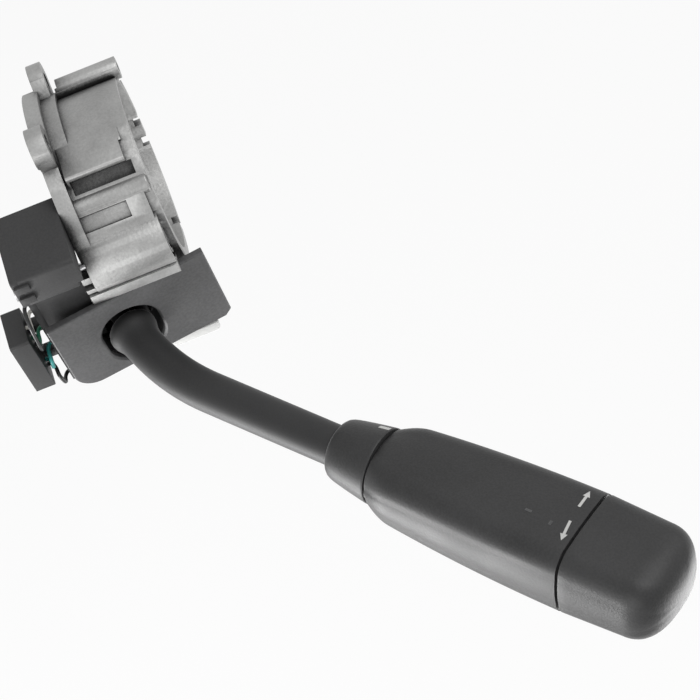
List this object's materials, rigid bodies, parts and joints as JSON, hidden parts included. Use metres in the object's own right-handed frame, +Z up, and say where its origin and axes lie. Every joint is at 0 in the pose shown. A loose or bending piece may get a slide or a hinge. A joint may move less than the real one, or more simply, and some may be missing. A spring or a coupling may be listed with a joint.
{
  "type": "combination stalk switch",
  "caption": "Steering column stalk switch: cast ring bracket, moulded switch housing and a bent lever with a turning grip and a press cap.",
  "frame": {"origin": "on the steering column's axis, at the rear face of the cast bracket", "axes": "+Z up, -Y along the column towards the driver, -X to the side that the lever reaches out to"},
  "size_m": [0.2041, 0.1485, 0.0769],
  "materials": {
    "cast_alloy": "sandblasted die casting, dull",
    "housing_plastic": "fine-grained moulded black plastic",
    "plate_plastic": "moulded black plastic, slightly worn",
    "lever_plastic": "smooth black plastic with a soft sheen",
    "grip_plastic": "finely grained black plastic",
    "inner_plastic": "natural moulded plastic",
    "white_plastic": "white moulded plastic",
    "connector_plastic": "plain black plastic",
    "steel": "bright zinc-plated steel",
    "brass": "stamped brass",
    "black_insulation": "black wire insulation",
    "white_insulation": "white wire insulation",
    "green_insulation": "green wire insulation",
    "teal_insulation": "blue-green wire insulation"
  },
  "bodies": {
    "root": {"column_bracket": "cast_alloy", "switch_housing": "housing_plastic", "housing_cover": "housing_plastic", "cover_plate": "plate_plastic", "contact_base": "white_plastic", "housing_screws": "steel", "turn_detent_track": "inner_plastic", "contact_blades": "brass", "connector_shell": "connector_plastic", "connector_pins": "brass", "pawl_pin": "steel", "lead_black": "black_insulation", "lead_white": "white_insulation", "lead_green": "green_insulation", "lead_teal": "teal_insulation", "lead_black_low": "black_insulation"},
    "pawl": {"cancel_pawl": "inner_plastic"},
    "carrier": {"lever_carrier": "inner_plastic", "beam_pin": "steel", "beam_leaf_spring": "steel", "turn_plunger_spring": "steel"},
    "turn_plunger": {"turn_detent_plunger": "steel"},
    "slider": {"turn_contact_slider": "inner_plastic", "slider_bridge": "brass"},
    "lever": {"lever_root": "lever_plastic", "lever_tube": "lever_plastic", "lever_harness": "black_insulation", "index_collar": "grip_plastic", "grip_spindle": "inner_plastic", "wiper_tracks": "brass", "spindle_circlip": "steel", "detent_ball": "steel", "wash_switch": "inner_plastic", "cap_spring": "steel"},
    "sleeve": {"twist_sleeve": "grip_plastic", "wiper_contact_ring": "brass"},
    "cap": {"end_cap": "grip_plastic", "cap_stem": "inner_plastic"}
  },
  "joints": [
    {"name": "turn_signal", "type": "hinge", "parent": "root", "child": "carrier", "pos_m": [-0.02252, -0.00064, -0.02225], "axis": [0, 1, 0], "range_deg": [-13, 13]},
    {"name": "beam", "type": "hinge", "parent": "carrier", "child": "lever", "pos_m": [-0.02252, -0.00064, -0.02225], "axis": [0, 0, 1], "range_deg": [-5, 5], "stiffness_Nm_per_rad": 4},
    {"name": "sleeve_twist", "type": "hinge", "parent": "lever", "child": "sleeve", "pos_m": [-0.09144, -0.0457, -0.02225], "axis": [-0.7466, -0.6652, 0], "range_deg": [-20, 40]},
    {"name": "cap_press", "type": "slide", "parent": "sleeve", "child": "cap", "axis": [0.7466, 0.6652, 0], "range_m": [0, 0.0008], "stiffness_N_per_m": 1000, "springref_m": -0.002},
    {"name": "plunger_slide", "type": "slide", "parent": "carrier", "child": "turn_plunger", "axis": [0, 0, 1], "range_m": [0, 0.0008], "stiffness_N_per_m": 300, "springref_m": -0.002, "deforming": ["turn_plunger_spring"]},
    {"name": "contact_slide", "type": "slide", "parent": "root", "child": "slider", "axis": [0, 0, 1], "range_m": [-0.00105, 0.00105]},
    {"name": "cancel_pawl_swing", "type": "hinge", "parent": "root", "child": "pawl", "pos_m": [-0.02093, -0.0175, -0.02093], "axis": [0, 1, 0], "range_deg": [-10, 10], "stiffness_Nm_per_rad": 0.002}
  ],
  "couplings": [
    {"joint": "contact_slide", "follows": "turn_signal", "m_per_rad": 0.0046}
  ]
}
